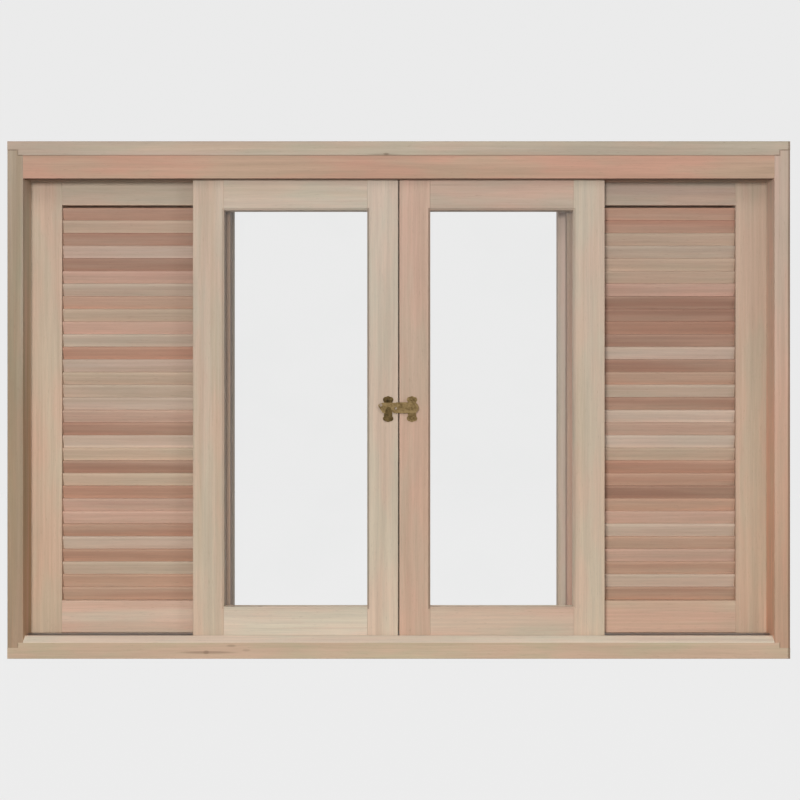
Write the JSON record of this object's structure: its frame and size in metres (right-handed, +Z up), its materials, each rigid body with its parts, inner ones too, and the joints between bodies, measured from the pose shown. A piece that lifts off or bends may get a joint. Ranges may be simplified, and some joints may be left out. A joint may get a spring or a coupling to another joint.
{
  "type": "sliding louvred window",
  "caption": "Sliding louvred window in bare wood: a boxed frame with tracks for glass leaves and for sliding and fixed louvre leaves of slanted slats, with a brass swing latch.",
  "frame": {"origin": "bottom centre of the frame's box, on the underside of the sill", "axes": "+X to the right as seen from the room, +Y towards the outside, +Z up"},
  "size_m": [1.5, 0.14, 0.992],
  "materials": {
    "frame_wood": "bare planed wood, beige",
    "fascia_wood": "bare planed wood, pink",
    "leaf_wood": "bare planed wood, pale",
    "slat_wood": "bare planed wood in mixed tones",
    "strip_wood": "bare planed wood, pale",
    "pane_glass": "clear float glass",
    "latch_brass": "antique finish",
    "track_metal": "extruded",
    "axle_steel": "zinc plated",
    "roller_nylon": "turned nylon"
  },
  "bodies": {
    "frame": {"head": "frame_wood", "sill": "frame_wood", "left_jamb": "frame_wood", "right_jamb": "frame_wood", "head_fascia": "fascia_wood", "head_parting_strips": "strip_wood", "sill_lip": "strip_wood", "outer_stops": "strip_wood", "track_rails": "track_metal", "left_fixed_outer_stile": "leaf_wood", "left_fixed_inner_stile": "leaf_wood", "left_fixed_top_rail": "leaf_wood", "left_fixed_bottom_rail": "leaf_wood", "left_fixed_slats": "slat_wood", "right_fixed_outer_stile": "leaf_wood", "right_fixed_inner_stile": "leaf_wood", "right_fixed_top_rail": "leaf_wood", "right_fixed_bottom_rail": "leaf_wood", "right_fixed_slats": "slat_wood"},
    "left_glass_leaf": {"left_glass_outer_stile": "leaf_wood", "left_glass_meeting_stile": "leaf_wood", "left_glass_top_rail": "leaf_wood", "left_glass_bottom_rail": "leaf_wood", "left_pane": "pane_glass", "left_glazing_beads": "strip_wood", "left_glass_axles": "axle_steel", "left_meeting_strip": "leaf_wood", "latch_keeper": "latch_brass", "keeper_screws": "latch_brass"},
    "left_louvre_leaf": {"left_louvre_outer_stile": "leaf_wood", "left_louvre_meeting_stile": "leaf_wood", "left_louvre_top_rail": "leaf_wood", "left_louvre_bottom_rail": "leaf_wood", "left_louvre_slats": "slat_wood", "left_louvre_axles": "axle_steel"},
    "right_glass_leaf": {"right_glass_outer_stile": "leaf_wood", "right_glass_meeting_stile": "leaf_wood", "right_glass_top_rail": "leaf_wood", "right_glass_bottom_rail": "leaf_wood", "right_pane": "pane_glass", "right_glazing_beads": "strip_wood", "right_glass_axles": "axle_steel", "latch_base": "latch_brass", "latch_base_screws": "latch_brass", "latch_pivot": "latch_brass"},
    "right_louvre_leaf": {"right_louvre_outer_stile": "leaf_wood", "right_louvre_meeting_stile": "leaf_wood", "right_louvre_top_rail": "leaf_wood", "right_louvre_bottom_rail": "leaf_wood", "right_louvre_slats": "slat_wood", "right_louvre_axles": "axle_steel"},
    "latch_arm": {"latch_arm": "latch_brass"},
    "left_glass_outer_roller": {"left_glass_outer_roller": "roller_nylon"},
    "left_glass_inner_roller": {"left_glass_inner_roller": "roller_nylon"},
    "right_glass_outer_roller": {"right_glass_outer_roller": "roller_nylon"},
    "right_glass_inner_roller": {"right_glass_inner_roller": "roller_nylon"},
    "left_louvre_outer_roller": {"left_louvre_outer_roller": "roller_nylon"},
    "left_louvre_inner_roller": {"left_louvre_inner_roller": "roller_nylon"},
    "right_louvre_outer_roller": {"right_louvre_outer_roller": "roller_nylon"},
    "right_louvre_inner_roller": {"right_louvre_inner_roller": "roller_nylon"}
  },
  "joints": [
    {"name": "left_glass_slide", "type": "slide", "parent": "frame", "child": "left_glass_leaf", "axis": [-1, 0, 0], "range_m": [0, 0.321]},
    {"name": "left_glass_outer_roller_spin", "type": "hinge", "parent": "left_glass_leaf", "child": "left_glass_outer_roller", "pos_m": [-0.298, -0.032, 0.0532], "axis": [0, 1, 0], "continuous": true},
    {"name": "left_glass_inner_roller_spin", "type": "hinge", "parent": "left_glass_leaf", "child": "left_glass_inner_roller", "pos_m": [-0.101, -0.032, 0.0532], "axis": [0, 1, 0], "continuous": true},
    {"name": "right_glass_slide", "type": "slide", "parent": "frame", "child": "right_glass_leaf", "axis": [1, 0, 0], "range_m": [0, 0.321]},
    {"name": "right_glass_outer_roller_spin", "type": "hinge", "parent": "right_glass_leaf", "child": "right_glass_outer_roller", "pos_m": [0.298, -0.032, 0.0532], "axis": [0, 1, 0], "continuous": true},
    {"name": "right_glass_inner_roller_spin", "type": "hinge", "parent": "right_glass_leaf", "child": "right_glass_inner_roller", "pos_m": [0.101, -0.032, 0.0532], "axis": [0, 1, 0], "continuous": true},
    {"name": "left_louvre_slide", "type": "slide", "parent": "frame", "child": "left_louvre_leaf", "axis": [1, 0, 0], "range_m": [0, 0.329]},
    {"name": "left_louvre_outer_roller_spin", "type": "hinge", "parent": "left_louvre_leaf", "child": "left_louvre_outer_roller", "pos_m": [-0.622, 0.007, 0.0532], "axis": [0, 1, 0], "continuous": true},
    {"name": "left_louvre_inner_roller_spin", "type": "hinge", "parent": "left_louvre_leaf", "child": "left_louvre_inner_roller", "pos_m": [-0.43, 0.007, 0.0532], "axis": [0, 1, 0], "continuous": true},
    {"name": "right_louvre_slide", "type": "slide", "parent": "frame", "child": "right_louvre_leaf", "axis": [-1, 0, 0], "range_m": [0, 0.329]},
    {"name": "right_louvre_outer_roller_spin", "type": "hinge", "parent": "right_louvre_leaf", "child": "right_louvre_outer_roller", "pos_m": [0.622, 0.007, 0.0532], "axis": [0, 1, 0], "continuous": true},
    {"name": "right_louvre_inner_roller_spin", "type": "hinge", "parent": "right_louvre_leaf", "child": "right_louvre_inner_roller", "pos_m": [0.43, 0.007, 0.0532], "axis": [0, 1, 0], "continuous": true},
    {"name": "latch_swing", "type": "hinge", "parent": "right_glass_leaf", "child": "latch_arm", "pos_m": [0.028, -0.0526, 0.481], "axis": [0, 1, 0], "range_deg": [0, 100]}
  ],
  "couplings": [
    {"joint": "left_glass_outer_roller_spin", "follows": "left_glass_slide", "rad_per_m": -100},
    {"joint": "left_glass_inner_roller_spin", "follows": "left_glass_slide", "rad_per_m": -100},
    {"joint": "right_glass_outer_roller_spin", "follows": "right_glass_slide", "rad_per_m": 100},
    {"joint": "right_glass_inner_roller_spin", "follows": "right_glass_slide", "rad_per_m": 100},
    {"joint": "left_louvre_outer_roller_spin", "follows": "left_louvre_slide", "rad_per_m": 100},
    {"joint": "left_louvre_inner_roller_spin", "follows": "left_louvre_slide", "rad_per_m": 100},
    {"joint": "right_louvre_outer_roller_spin", "follows": "right_louvre_slide", "rad_per_m": -100},
    {"joint": "right_louvre_inner_roller_spin", "follows": "right_louvre_slide", "rad_per_m": -100}
  ]
}
